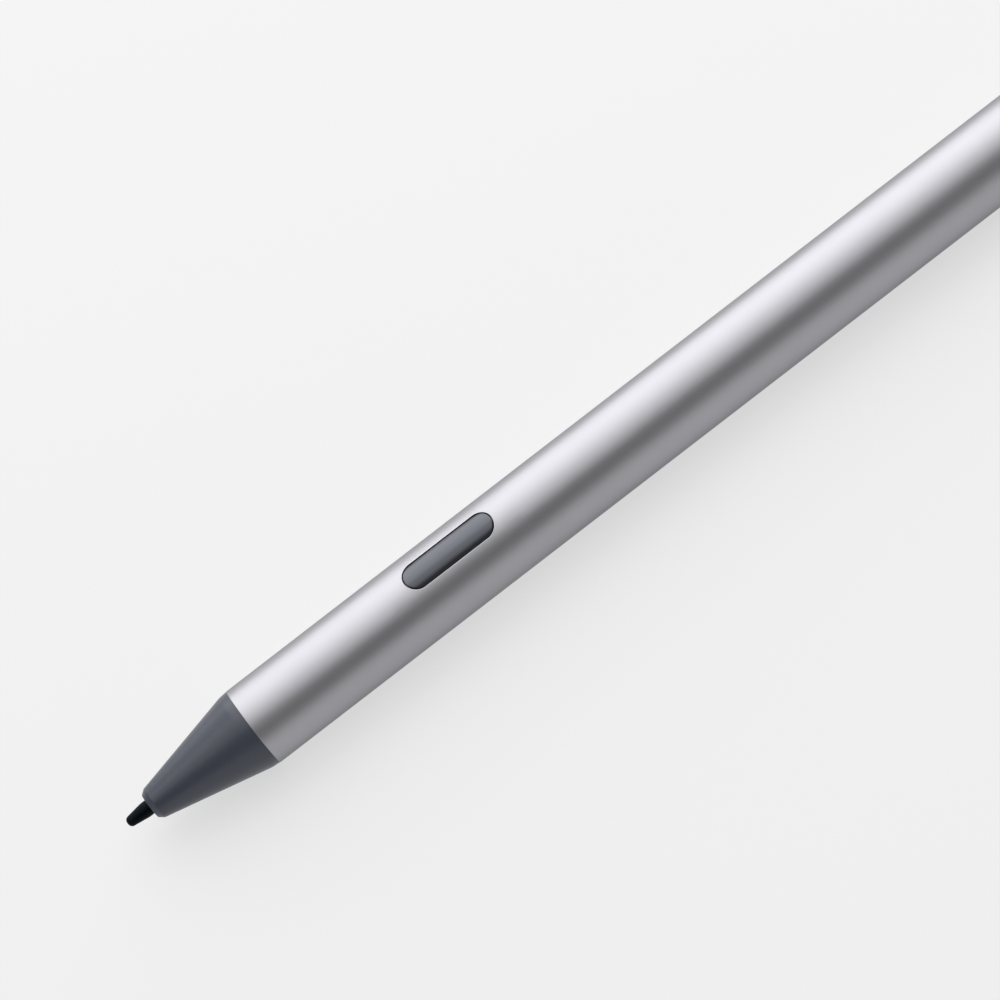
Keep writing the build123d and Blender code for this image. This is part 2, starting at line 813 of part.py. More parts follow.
export_step(tail_button.part, "parts/tail_button.step")

# Return spring of the end button, on the round board
tail_coil_radius = (cup_radius + flange_radius) / 2
tail_coil, tail_coil_ways = coil_points(
    tail_board_rear + tail_spring_wire / 2 + spring_gap,
    button_flange_front - tail_spring_wire / 2 - spring_gap,
    tail_coil_radius,
    tail_coil_radius,
    tail_spring_turns,
)
with BuildPart() as tail_button_spring:
    with BuildLine() as tail_spring_path:
        draw_coil(tail_coil, tail_coil_ways)
    with BuildSketch(Plane(origin=tail_coil[0], z_dir=tail_coil_ways[0])):
        RegularPolygon(tail_spring_wire / 2, wire_sides)
    sweep(path=tail_spring_path.wire())
print_coil_gap("tail_button_spring", tail_coil, tail_spring_wire, tail_spring_turns)
tail_button_spring.part.label = "tail_button_spring"
export_step(tail_button_spring.part, "parts/tail_button_spring.step")
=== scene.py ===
import json
import math

import bmesh
import bpy
from mathutils import Matrix, Vector


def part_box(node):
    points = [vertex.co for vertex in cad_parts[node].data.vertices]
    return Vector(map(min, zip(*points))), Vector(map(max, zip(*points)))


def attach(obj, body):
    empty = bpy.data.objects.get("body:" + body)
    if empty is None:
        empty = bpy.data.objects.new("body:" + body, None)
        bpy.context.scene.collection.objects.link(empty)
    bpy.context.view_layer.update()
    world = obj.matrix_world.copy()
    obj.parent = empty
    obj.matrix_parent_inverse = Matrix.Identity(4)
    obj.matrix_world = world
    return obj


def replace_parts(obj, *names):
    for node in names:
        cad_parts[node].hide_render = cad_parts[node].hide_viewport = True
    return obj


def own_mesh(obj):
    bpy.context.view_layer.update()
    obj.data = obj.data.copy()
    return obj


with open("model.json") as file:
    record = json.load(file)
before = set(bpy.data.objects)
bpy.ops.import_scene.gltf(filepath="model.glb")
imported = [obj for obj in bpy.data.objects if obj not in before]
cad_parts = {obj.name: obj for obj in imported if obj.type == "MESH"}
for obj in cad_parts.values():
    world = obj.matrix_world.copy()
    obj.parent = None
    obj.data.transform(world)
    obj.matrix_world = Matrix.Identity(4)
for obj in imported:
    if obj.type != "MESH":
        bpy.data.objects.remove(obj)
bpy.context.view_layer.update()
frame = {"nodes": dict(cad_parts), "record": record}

# A stylus pen that lies along X, with its nib at -X and its side button up.
# Sizes are in millimetres, and the meshes are made in metres.
MM = 0.001

# Fineness of round pieces
SIDES = 192
ARC_STEP = math.radians(6)
ARC_LEAST_STEPS = 6
SUPPORT = 0.06
SUPPORT_LEAST_RUN = 4 * SUPPORT
SHARP_EDGE = math.radians(32)
MERGE = 1e-7

# Barrel and its slot
BARREL_WALL = 0.6
BARREL_EDGE = 0.05
SLOT_LENGTH = 12.0
SLOT_WIDTH = 3.4
SLOT_RIM = 0.07
PATCH_LENGTH = 18.0
PATCH_STEPS = 60
PATCH_SIDES = 32
PATCH_RINGS = 7
RIM_STEPS = 4

# Nose cone
CONE_MOUTH = 1.5
CONE_MOUTH_EDGE = 0.15
CONE_CHAMFER = 1.965
CONE_CHAMFER_RUN = 0.6
CONE_CHAMFER_ROUND = 0.6
CONE_HOLE_EDGE = 0.12
CONE_BAND = 4.805
CONE_BAND_RUN = 0.97
CONE_BAND_ROUND = 3.0
CONE_REAR_STEP = 0.03
NOSE_HOLE = 0.97
SPIGOT_EDGE = 0.2

# Nib
NIB_TIP = 0.575
NIB_TIP_ROUND = 0.55
NIB_TAPER = 2.4
NIB_STEM = 0.62
NIB_EDGE = 0.12

# Side button
BUTTON_GAP = 0.13
BUTTON_CROWN = 2.8
BUTTON_DROP = 0.1
BUTTON_EDGE = 0.05
BUTTON_LIP = 0.55
BUTTON_LIP_THICKNESS = 0.5
BUTTON_POST = 0.9
BUTTON_RINGS = 7
BUTTON_STRAIGHT_STEPS = 24
BUTTON_ARC_STEPS = 30

# Tail
TAIL_LIP = 3.95
TAIL_LIP_THICKNESS = 1.2
TAIL_EDGE = 0.55
TAIL_DOME = 0.55
TAIL_DOME_STEPS = 5
TAIL_BUTTON_GAP = 0.06
TAIL_BUTTON_EDGE = 0.5
TAIL_BUTTON_WALL = 0.9
TAIL_FLANGE = 1.7
TAIL_POST = 0.9
PLUG_LEAD = 0.8
PLUG_WALL = 1.05
PLUG_RECESS = 0.6
PLUG_POCKET = 3.0
PLUG_EDGE = 0.25
GROOVE_INSET = 3.2
GROOVE_ROOM = 0.1
RING_SECTION = 0.86
RING_FULLNESS = 0.96

# Cell
CELL_NUB = 1.9
CELL_NUB_HEIGHT = 1.0
CELL_NUB_EDGE = 0.24
CELL_EDGE = 0.45
CELL_STEP = 2.8
CELL_STEP_DEPTH = 0.15
JACKET_WALL = 0.1
JACKET_DRAW = 0.4

# Springs and small pieces on the board
SPRING_WIRE = {"nib_spring": 0.3, "battery_spring": 0.5, "tail_button_spring": 0.4}
SPRING_TURNS = {"nib_spring": 6.5, "battery_spring": 3.5, "tail_button_spring": 4.5}
SPRING_FLAT_TURNS = 0.5
FRONT_END = 0
WIRE_STEPS = 40
WIRE_SIDES = 14
BATTERY_SPRING_FRONT = 1.7
SCREW_COUNT = 2
SCREW_SIDES = 48
SCREW_HEAD = 0.5
SCREW_SHANK = 0.55
SCREW_THREAD = 0.1
SCREW_THREADS = 9
SCREW_RECESS = 0.26
SCREW_CROSS = 0.62
SCREW_ARM = math.radians(15)
# Share of the head's radius and depth below its top, from the top's rim down
SCREW_CROWN = ((0.78, 0), (0.93, 0.06), (1.0, 0.2), (1.0, SCREW_HEAD))
CAPACITOR_SIZE = (1.0, 0.5, 0.5)
CAPACITOR_PITCH = 1.5
CAPACITOR_END = 0.25
CAPACITOR_STEP = 0.02
BLOCK_EDGE_STEPS = 2

# Clearances and edge breaks of hidden pieces
FIXED_GAP = 0.03
LIP_GAP = 0.1
END_GAP = 0.05
FINE_EDGE = 0.08

# Edges, grain and gloss of the finishes
EASED_EDGE = 0.03
RUBBED_EDGE = 0.12
EDGE_SAMPLES = 4
EDGE_TURN = (0.9, 0.995)
EDGE_PATCHES = (0.35, 0.6)
EDGE_LEAST = 0.2
EDGE_POLISH = 0.1
GLOSS_SPREAD = 0.06
CLOUD_DETAIL = 4.0

# Finish of the nib
NIB_DARK = (0.0008, 0.0029, 0.0050)
NIB_LIGHT = (0.0012, 0.0038, 0.0062)
NIB_GRAIN = 0.05
NIB_RELIEF = 0.001
NIB_ROUGHNESS = (0.34, 0.42)
NIB_SCUFF = 1.6
NIB_SCUFF_GRAIN = 0.12
NIB_SCUFF_DETAIL = 6.0
NIB_SCUFF_PATCHES = (0.45, 0.65)
NIB_SCUFF_COLOR = (0.006, 0.010, 0.013)
NIB_SCUFF_MATT = 0.2

# Finish of the boards: solder mask, tracks under it and round joints
MASK_DARK = (0.007, 0.045, 0.027)
MASK_LIGHT = (0.010, 0.060, 0.035)
MASK_CLOUD = 1.5
MASK_ROUGHNESS = (0.34, 0.46)
TRACK_COLOR = (0.016, 0.09, 0.05)
TRACK_PITCH = 0.5
TRACK_EDGE = (0.45, 0.6)
TRACK_STRETCH = (0.12, 1.0, 1.0)
TRACK_BREAK_SIZE = 0.5
TRACK_BREAKS = (0.5, 0.52)
TRACK_HEIGHT = 0.03
JOINT_COLOR = (0.05, 0.15, 0.08)
JOINT_PITCH = 1.3
JOINT_SCATTER = 0.7
JOINT_EDGE = (0.1, 0.13)

# Stage and light, with sizes in metres
FLOOR_SIZE = 8.0
FLOOR_COLOR = (0.75, 0.75, 0.75, 1)
FLOOR_LIGHT = (0.89, 0.89, 0.89, 1)
FLOOR_EVENNESS = 0.7
ROOM_LIGHT = 0.1
HORIZON_LIGHT = 0.95
HORIZON_REACH = 0.4
NEAR_SIDE = 1.3
FAR_SIDE = 0.5
LIGHT_DISTANCE = 0.7
LIGHT_LENGTH = 2.0

# Camera: square to the pen, tilted off the side button and rolled so that the pen rises to the right
PICTURE_WIDTH = 109.87
CAMERA_TILT = math.radians(28.73)
CAMERA_ROLL = math.radians(37.63)
AIM_ALONG = 54.1
AIM_ASIDE = 3.19
LENS = 250.0
SENSOR = 36.0

# Places that the frame gives
grip = frame["record"]["mounts"][0]
BARREL_RADIUS = grip["dims"]["r_mm"]
AXIS_HEIGHT = grip["pos_m"][2] / MM
BORE = BARREL_RADIUS - BARREL_WALL


def span(node):
    """Front and rear end of a CAD node along the pen."""
    low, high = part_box(node)
    return low.x / MM, high.x / MM


def girth(node):
    """Outside radius of a round CAD node."""
    low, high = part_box(node)
    return (high.y - low.y) / 2 / MM


nib_front, nib_rear = span("nib")
cone_front, spigot_rear = span("nose_cone")
electrode_front, guide_front = span("ring_electrode")
holder_front = span("nib_holder")[FRONT_END]
barrel_front, barrel_rear = span("barrel")
plug_front, plug_rear = span("tail_plug")
sleeve_front, sleeve_rear = span("tail_sleeve")
tail_post_front, tail_end = span("tail_button")
cell_front, cell_rear = span("battery_cell")
slot_middle = sum(span("side_button")) / 2
crown_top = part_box("side_button")[1].z / MM - AXIS_HEIGHT
button_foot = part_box("side_button")[0].z / MM - AXIS_HEIGHT


def add(tree, kind, inputs=None, **settings):
    """Adds a node, with its settings, and sets or links its inputs by name or place."""
    made = tree.nodes.new(kind)
    for name, value in settings.items():
        setattr(made, name, value)
    for name, value in (inputs or {}).items():
        if isinstance(value, bpy.types.NodeSocket):
            tree.links.new(value, made.inputs[name])
        else:
            made.inputs[name].default_value = value
    return made


def reckon(tree, operation, first, second=0.0, kind="ShaderNodeMath"):
    """Adds a sum of two values and gives its result."""
    return add(tree, kind, {0: first, 1: second}, operation=operation).outputs[0]


# Turned pieces: an outline of stations and radii, carried round the pen's axis


def rounded_outline(corners, closed):
    """Points along (station, radius, round) corners, with an arc at each corner that has a round."""
    points = []
    for index, corner in enumerate(corners):
        here = Vector(corner[:2])
        round_radius = corner[2] if len(corner) > 2 else 0
        if not round_radius:
            points.append(here)
            continue
        back = (Vector(corners[index - 1][:2]) - here).normalized()
        ahead = (Vector(corners[(index + 1) % len(corners)][:2]) - here).normalized()
        half = back.angle(ahead) / 2
        centre = here + (back + ahead).normalized() * (round_radius / math.sin(half))
        start = here + back * (round_radius / math.tan(half)) - centre
        sweep = math.pi - 2 * half
        turn = -1 if back.x * ahead.y - back.y * ahead.x > 0 else 1
        steps = max(ARC_LEAST_STEPS, math.ceil(sweep / ARC_STEP))
        for step in range(steps + 1):
            points.append(centre + Matrix.Rotation(turn * sweep * step / steps, 2) @ start)
    if closed:
        points.append(points[0].copy())
    supported = [points[0]]
    for start, end in zip(points, points[1:]):
        run = end - start
        if run.length > SUPPORT_LEAST_RUN:
            inset = run.normalized() * SUPPORT
            supported += [start + inset, end - inset]
        supported.append(end)
    return supported


# Geometry trees


def tree_with_sizes(name, sizes):
    """A geometry tree with named inputs, and its input and output nodes."""
    tree = bpy.data.node_groups.new(name, "GeometryNodeTree")
    tree.interface.new_socket("Geometry", in_out="OUTPUT", socket_type="NodeSocketGeometry")
    tree.interface.new_socket("Geometry", in_out="INPUT", socket_type="NodeSocketGeometry")
    for size, kind in sizes.items():
        tree.interface.new_socket(size, in_out="INPUT", socket_type="NodeSocket" + kind)
    return tree, tree.nodes.new("NodeGroupInput").outputs, tree.nodes.new("NodeGroupOutput").inputs


def finish_tree(tree, shape, material, result):
    """Ends a tree: real geometry, smooth faces and the piece's material."""
    real = add(tree, "GeometryNodeRealizeInstances", {"Geometry": shape}).outputs[0]
    smooth = add(tree, "GeometryNodeSetShadeSmooth", {"Geometry": real}).outputs[0]
    coated = add(tree, "GeometryNodeSetMaterial", {"Geometry": smooth, "Material": material}).outputs[0]
    tree.links.new(coated, result["Geometry"])


def turned_tree():
    """Carries the outline's points round the pen's axis and closes the seam and the ends."""
    sizes = {"Points": "Int", "Sides": "Int", "Axis Height": "Float", "Material": "Material"}
    tree, given, result = tree_with_sizes("turned_round_the_axis", sizes)
    around = reckon(tree, "ADD", given["Sides"], 1)
    grid = add(tree, "GeometryNodeMeshGrid", {"Vertices X": given["Points"], "Vertices Y": around})
    index = add(tree, "GeometryNodeInputIndex").outputs[0]
    row = reckon(tree, "FLOOR", reckon(tree, "DIVIDE", index, around))
    column = reckon(tree, "SUBTRACT", index, reckon(tree, "MULTIPLY", row, around))
    angle = reckon(tree, "DIVIDE", reckon(tree, "MULTIPLY", column, math.tau), given["Sides"])
    place = add(tree, "GeometryNodeInputPosition").outputs[0]
    outline = add(
        tree,
        "GeometryNodeSampleIndex",
        {"Geometry": given["Geometry"], "Value": place, "Index": row},
        data_type="FLOAT_VECTOR",
    )
    parts = add(tree, "ShaderNodeSeparateXYZ", {0: outline.outputs[0]}).outputs
    sideways = reckon(tree, "MULTIPLY", parts["Z"], reckon(tree, "SINE", angle))
    upward = reckon(tree, "MULTIPLY", parts["Z"], reckon(tree, "COSINE", angle))
    height = reckon(tree, "ADD", upward, given["Axis Height"])
    turned = add(tree, "ShaderNodeCombineXYZ", {"X": parts["X"], "Y": sideways, "Z": height}).outputs[0]
    placed = {"Geometry": grid.outputs[0], "Position": turned}
    moved = add(tree, "GeometryNodeSetPosition", placed).outputs[0]
    closed = add(tree, "GeometryNodeMergeByDistance", {"Geometry": moved, "Distance": MERGE}).outputs[0]
    finish_tree(tree, closed, given["Material"], result)
    return tree


def spring_tree():
    """Winds a wire round the pen's axis, with flat end turns."""
    sizes = {
        "Front": "Float", "Rear": "Float", "Front Radius": "Float", "Rear Radius": "Float",
        "Turns": "Float", "Flat Turns": "Float", "Wire": "Float", "Axis Height": "Float",
        "Material": "Material",
    }
    tree, given, result = tree_with_sizes("wound_spring", sizes)
    steps = reckon(tree, "MULTIPLY", given["Turns"], WIRE_STEPS)
    line = add(tree, "GeometryNodeCurvePrimitiveLine").outputs[0]
    wire_line = add(tree, "GeometryNodeResampleCurve", {"Curve": line, "Count": steps}).outputs[0]
    share = add(tree, "GeometryNodeSplineParameter").outputs["Factor"]
    turn = reckon(tree, "MULTIPLY", share, given["Turns"])
    angle = reckon(tree, "MULTIPLY", turn, math.tau)
    rise = add(
        tree,
        "ShaderNodeMapRange",
        {
            "Value": turn,
            "From Min": given["Flat Turns"],
            "From Max": reckon(tree, "SUBTRACT", given["Turns"], given["Flat Turns"]),
            "To Min": given["Front"],
            "To Max": given["Rear"],
        },
    ).outputs[0]
    radius = add(
        tree,
        "ShaderNodeMapRange",
        {"Value": share, "To Min": given["Front Radius"], "To Max": given["Rear Radius"]},
    ).outputs[0]
    sideways = reckon(tree, "MULTIPLY", radius, reckon(tree, "SINE", angle))
    upward = reckon(tree, "MULTIPLY", radius, reckon(tree, "COSINE", angle))
    height = reckon(tree, "ADD", upward, given["Axis Height"])
    place = add(tree, "ShaderNodeCombineXYZ", {"X": rise, "Y": sideways, "Z": height}).outputs[0]
    wound = add(tree, "GeometryNodeSetPosition", {"Geometry": wire_line, "Position": place}).outputs[0]
    section = add(
        tree,
        "GeometryNodeCurvePrimitiveCircle",
        {"Resolution": WIRE_SIDES, "Radius": reckon(tree, "DIVIDE", given["Wire"], 2)},
    ).outputs[0]
    wire = add(
        tree,
        "GeometryNodeCurveToMesh",
        {"Curve": wound, "Profile Curve": section, "Fill Caps": True},
    ).outputs[0]
    finish_tree(tree, wire, given["Material"], result)
    return tree


def layout_tree():
    """Lays copies of a small piece out in columns along the pen and rows across it."""
    sizes = {
        "Columns": "Int", "Rows": "Int", "Column Pitch": "Float", "Row Pitch": "Float",
        "First Place": "Vector", "Material": "Material",
    }
    tree, given, result = tree_with_sizes("laid_out_on_the_board", sizes)
    along = add(tree, "ShaderNodeCombineXYZ", {"X": given["Column Pitch"]}).outputs[0]
    across = add(tree, "ShaderNodeCombineXYZ", {"Y": given["Row Pitch"]}).outputs[0]
    first = {"Count": given["Columns"], "Start Location": given["First Place"], "Offset": along}
    columns = add(tree, "GeometryNodeMeshLine", first).outputs[0]
    row = add(tree, "GeometryNodeMeshLine", {"Count": given["Rows"], "Offset": across}).outputs[0]
    rows = add(tree, "GeometryNodeInstanceOnPoints", {"Points": columns, "Instance": row}).outputs[0]
    places = add(tree, "GeometryNodeRealizeInstances", {"Geometry": rows}).outputs[0]
    copies = {"Points": places, "Instance": given["Geometry"]}
    laid = add(tree, "GeometryNodeInstanceOnPoints", copies).outputs[0]
    finish_tree(tree, laid, given["Material"], result)
    return tree


# Meshes and their places on the pen's bodies


def grown(tree, name, mesh, sizes):
    """The plain mesh that a geometry tree makes of a mesh and its sizes."""
    holder = bpy.data.objects.new(name, mesh)
    bpy.context.scene.collection.objects.link(holder)
    modifier = holder.modifiers.new(tree.name, "NODES")
    modifier.node_group = tree
    for item in tree.interface.items_tree:
        if item.in_out == "INPUT" and item.name in sizes:
            modifier[item.identifier] = sizes[item.name]
    depsgraph = bpy.context.evaluated_depsgraph_get()
    made = bpy.data.meshes.new_from_object(holder.evaluated_get(depsgraph), depsgraph=depsgraph)
    bpy.data.objects.remove(holder)
    return made


def outward(mesh):
    """Closes a mesh's seams, points its faces outwards and marks its sharp edges."""
    form = bmesh.new()
    form.from_mesh(mesh)
    bmesh.ops.remove_doubles(form, verts=form.verts, dist=MERGE)
    bmesh.ops.recalc_face_normals(form, faces=form.faces)
    form.to_mesh(mesh)
    form.free()
    mesh.shade_smooth()
    mesh.set_sharp_from_angle(angle=SHARP_EDGE)
    return mesh


def carry(name, mesh, body):
    """Puts a mesh on a body."""
    piece = bpy.data.objects.new(name, outward(mesh))
    bpy.context.scene.collection.objects.link(piece)
    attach(piece, body)
    return piece


def fit(name, mesh, body, node):
    """Puts a mesh in a CAD node's place, on the node's body."""
    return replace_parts(carry(name, mesh, body), node)


TURNED = turned_tree()
WOUND = spring_tree()
LAID_OUT = layout_tree()


def turned(name, corners, closed, material):
    """A turned piece's mesh, from the corners of its outline."""
    points = rounded_outline(corners, closed)
    mesh = bpy.data.meshes.new(name)
    mesh.from_pydata([(p.x * MM, 0, p.y * MM) for p in points], [], [])
    sizes = {
        "Points": len(points),
        "Sides": SIDES,
        "Axis Height": AXIS_HEIGHT * MM,
        "Material": material,
    }
    return grown(TURNED, name, mesh, sizes)


def joined(rings):
    """Faces between each closed ring of vertices and the next one."""
    faces = []
    for one, other in zip(rings, rings[1:]):
        for k in range(len(one)):
            after = (k + 1) % len(one)
            faces.append((one[k], one[after], other[after], other[k]))
    return faces


def shell(name, vertices, faces, material):
    """A mesh from places in millimetres."""
    mesh = bpy.data.meshes.new(name)
    mesh.from_pydata([[value * MM for value in place] for place in vertices], [], faces)
    mesh.materials.append(material)
    return mesh


# Finishes


def finish(name):
    """A new material with its tree, its surface shader and the piece's own coordinates."""
    material = bpy.data.materials.new(name)
    material.use_nodes = True
    tree = material.node_tree
    place = add(tree, "ShaderNodeTexCoord").outputs["Object"]
    return material, tree, tree.nodes["Principled BSDF"], place


def speckle(tree, place, grain, detail=2.0):
    """Even noise whose grains are about this many millimetres across."""
    return add(
        tree, "ShaderNodeTexNoise", {"Vector": place, "Scale": 1 / (grain * MM), "Detail": detail}
    ).outputs["Fac"]


def between(tree, value, low, high, start=0.0, end=1.0):
    """Spreads a value that runs from start to end between two others."""
    limits = {"Value": value, "From Min": start, "From Max": end, "To Min": low, "To Max": high}
    return add(tree, "ShaderNodeMapRange", limits).outputs[0]


def tint(tree, value, dark, light):
    """Blends two colours by a value."""
    ramp = add(tree, "ShaderNodeValToRGB", {"Fac": value})
    ramp.color_ramp.elements[0].color = (*dark, 1)
    ramp.color_ramp.elements[1].color = (*light, 1)
    return ramp.outputs["Color"]


def mixed_tint(tree, share, under, over):
    """Covers a colour with another one by a share."""
    return add(tree, "ShaderNodeMix", {0: share, 6: under, 7: (*over, 1)}, data_type="RGBA").outputs[2]


def relief(tree, value, depth):
    """A bump of this many millimetres from a value, on faces whose edges are eased."""
    eased = add(tree, "ShaderNodeBevel", {"Radius": EASED_EDGE * MM}, samples=EDGE_SAMPLES).outputs[0]
    bump = {"Height": value, "Distance": depth * MM, "Normal": eased}
    return add(tree, "ShaderNodeBump", bump).outputs["Normal"]


def rubbed_edges(tree, patches):
    """Where edges are rubbed: 1 along an edge, broken up by a patchy value."""
    softened = add(tree, "ShaderNodeBevel", {"Radius": RUBBED_EDGE * MM}, samples=EDGE_SAMPLES).outputs[0]
    facing = add(tree, "ShaderNodeNewGeometry").outputs["Normal"]
    match = add(tree, "ShaderNodeVectorMath", {0: softened, 1: facing}, operation="DOT_PRODUCT")
    edge = between(tree, match.outputs["Value"], 1.0, 0.0, *EDGE_TURN)
    return reckon(tree, "MULTIPLY", edge, between(tree, patches, EDGE_LEAST, 1.0, *EDGE_PATCHES))


def coat(name, dark, light, rubbed, roughness, metallic=0.0, grain=0.08, depth=0.003, cloud=2.0):
    """A fine-grained finish: clouded colour, grain in the gloss, a low relief and rubbed edges."""
    material, tree, surface, place = finish(name)
    fine = speckle(tree, place, grain)
    broad = speckle(tree, place, cloud, CLOUD_DETAIL)
    edges = rubbed_edges(tree, broad)
    colour = mixed_tint(tree, edges, tint(tree, broad, dark, light), rubbed)
    gloss = between(tree, fine, roughness - GLOSS_SPREAD, roughness + GLOSS_SPREAD)
    gloss = reckon(tree, "SUBTRACT", gloss, reckon(tree, "MULTIPLY", edges, EDGE_POLISH))
    tree.links.new(colour, surface.inputs["Base Color"])
    tree.links.new(gloss, surface.inputs["Roughness"])
    tree.links.new(relief(tree, fine, depth), surface.inputs["Normal"])
    surface.inputs["Metallic"].default_value = metallic
    return material


def set_gloss(material, sockets):
    """Sets even gloss values of a finish on its shader."""
    for socket, value in sockets.items():
        material.node_tree.nodes["Principled BSDF"].inputs[socket].default_value = value


def nib_finish():
    """Deep black plastic that is scuffed pale and matt round its tip."""
    material, tree, surface, place = finish("nib_black")
    fine = speckle(tree, place, NIB_GRAIN)
    scuffs = speckle(tree, place, NIB_SCUFF_GRAIN, NIB_SCUFF_DETAIL)
    along = add(tree, "ShaderNodeSeparateXYZ", {0: place}).outputs["X"]
    near_tip = between(tree, along, 1.0, 0.0, nib_front * MM, (nib_front + NIB_SCUFF) * MM)
    scuffed = reckon(tree, "MULTIPLY", near_tip, between(tree, scuffs, 0.0, 1.0, *NIB_SCUFF_PATCHES))
    base = tint(tree, fine, NIB_DARK, NIB_LIGHT)
    tree.links.new(mixed_tint(tree, scuffed, base, NIB_SCUFF_COLOR), surface.inputs["Base Color"])
    matt = reckon(tree, "MULTIPLY", scuffed, NIB_SCUFF_MATT)
    gloss = reckon(tree, "ADD", between(tree, fine, *NIB_ROUGHNESS), matt)
    tree.links.new(gloss, surface.inputs["Roughness"])
    tree.links.new(relief(tree, fine, NIB_RELIEF), surface.inputs["Normal"])
    return material


def board_finish():
    """Green solder mask over raised tracks along the board, with small round joints between them."""
    material, tree, surface, place = finish("circuit_board")
    across = add(tree, "ShaderNodeSeparateXYZ", {0: place}).outputs["Y"]
    wave = reckon(tree, "SINE", reckon(tree, "MULTIPLY", across, math.tau / (TRACK_PITCH * MM)))
    lines = between(tree, wave, 0.0, 1.0, *TRACK_EDGE)
    drawn_out = add(tree, "ShaderNodeMapping", {"Vector": place, "Scale": TRACK_STRETCH}).outputs[0]
    runs = between(tree, speckle(tree, drawn_out, TRACK_BREAK_SIZE), 0.0, 1.0, *TRACK_BREAKS)
    tracks = reckon(tree, "MULTIPLY", lines, runs)
    cells = {"Vector": place, "Scale": 1 / (JOINT_PITCH * MM), "Randomness": JOINT_SCATTER}
    away = add(tree, "ShaderNodeTexVoronoi", cells).outputs["Distance"]
    joints = between(tree, away, 1.0, 0.0, *JOINT_EDGE)
    raised = reckon(tree, "MAXIMUM", tracks, joints)
    broad = speckle(tree, place, MASK_CLOUD, CLOUD_DETAIL)
    mask = tint(tree, broad, MASK_DARK, MASK_LIGHT)
    colour = mixed_tint(tree, joints, mixed_tint(tree, tracks, mask, TRACK_COLOR), JOINT_COLOR)
    tree.links.new(colour, surface.inputs["Base Color"])
    tree.links.new(between(tree, broad, *MASK_ROUGHNESS), surface.inputs["Roughness"])
    tree.links.new(relief(tree, raised, TRACK_HEIGHT), surface.inputs["Normal"])
    return material


satin_aluminium = coat(
    "satin_aluminium",
    dark=(0.398, 0.394, 0.418),
    light=(0.418, 0.414, 0.439),
    rubbed=(0.47, 0.47, 0.48),
    roughness=0.47,
    metallic=1.0,
    grain=0.07,
    cloud=3.0,
)
dark_grey_plastic = coat(
    "dark_grey_plastic",
    dark=(0.043, 0.050, 0.069),
    light=(0.048, 0.056, 0.077),
    rubbed=(0.074, 0.083, 0.102),
    roughness=0.36,
    grain=0.06,
)
black_plastic = coat(
    "black_plastic",
    dark=(0.008, 0.009, 0.010),
    light=(0.012, 0.013, 0.015),
    rubbed=(0.025, 0.026, 0.028),
    roughness=0.5,
)
nib_black = nib_finish()
gunmetal = coat(
    "gunmetal_coat",
    dark=(0.068, 0.072, 0.085),
    light=(0.073, 0.077, 0.091),
    rubbed=(0.12, 0.125, 0.14),
    roughness=0.32,
    metallic=1.0,
    grain=0.05,
    depth=0.002,
)
brass = coat(
    "turned_brass",
    dark=(0.48, 0.32, 0.11),
    light=(0.58, 0.40, 0.15),
    rubbed=(0.64, 0.47, 0.20),
    roughness=0.32,
    metallic=1.0,
)
gold = coat(
    "gold_contact",
    dark=(0.60, 0.43, 0.15),
    light=(0.68, 0.50, 0.20),
    rubbed=(0.72, 0.56, 0.26),
    roughness=0.28,
    metallic=1.0,
)
white_plastic = coat(
    "white_plastic",
    dark=(0.62, 0.61, 0.57),
    light=(0.70, 0.69, 0.65),
    rubbed=(0.74, 0.73, 0.70),
    roughness=0.45,
)
spring_steel = coat(
    "spring_steel",
    dark=(0.30, 0.305, 0.32),
    light=(0.37, 0.375, 0.39),
    rubbed=(0.42, 0.42, 0.43),
    roughness=0.32,
    metallic=1.0,
)
stamped_steel = coat(
    "stamped_steel",
    dark=(0.22, 0.225, 0.23),
    light=(0.27, 0.275, 0.28),
    rubbed=(0.33, 0.33, 0.34),
    roughness=0.42,
    metallic=1.0,
)
silicone = coat(
    "silicone",
    dark=(0.40, 0.40, 0.42),
    light=(0.47, 0.47, 0.49),
    rubbed=(0.50, 0.50, 0.52),
    roughness=0.5,
)
ceramic = coat(
    "ceramic_sensor",
    dark=(0.50, 0.48, 0.44),
    light=(0.58, 0.56, 0.52),
    rubbed=(0.62, 0.60, 0.57),
    roughness=0.55,
)
circuit_board = board_finish()
chip_black = coat(
    "chip_black",
    dark=(0.012, 0.012, 0.014),
    light=(0.018, 0.018, 0.020),
    rubbed=(0.03, 0.03, 0.032),
    roughness=0.55,
)
capacitor_tan = coat(
    "capacitor_tan",
    dark=(0.30, 0.20, 0.12),
    light=(0.38, 0.27, 0.17),
    rubbed=(0.42, 0.31, 0.21),
    roughness=0.5,
)
cell_can = coat(
    "cell_can",
    dark=(0.34, 0.34, 0.35),
    light=(0.41, 0.41, 0.42),
    rubbed=(0.46, 0.46, 0.47),
    roughness=0.32,
    metallic=1.0,
)
jacket_film = coat(
    "jacket_film",
    dark=(0.045, 0.05, 0.056),
    light=(0.052, 0.057, 0.064),
    rubbed=(0.09, 0.095, 0.10),
    roughness=0.28,
    grain=0.3,
)
black_rubber = coat(
    "black_rubber",
    dark=(0.012, 0.012, 0.012),
    light=(0.018, 0.018, 0.018),
    rubbed=(0.03, 0.03, 0.03),
    roughness=0.6,
)
set_gloss(satin_aluminium, {"Specular Tint": (0.48, 0.48, 0.48, 1)})
set_gloss(dark_grey_plastic, {"Specular IOR Level": 0.46})
set_gloss(nib_black, {"Specular IOR Level": 0.05})
set_gloss(gunmetal, {"Coat Weight": 0.6, "Coat Roughness": 0.27, "Specular Tint": (0.7, 0.7, 0.7, 1)})


# Pieces that the photograph shows


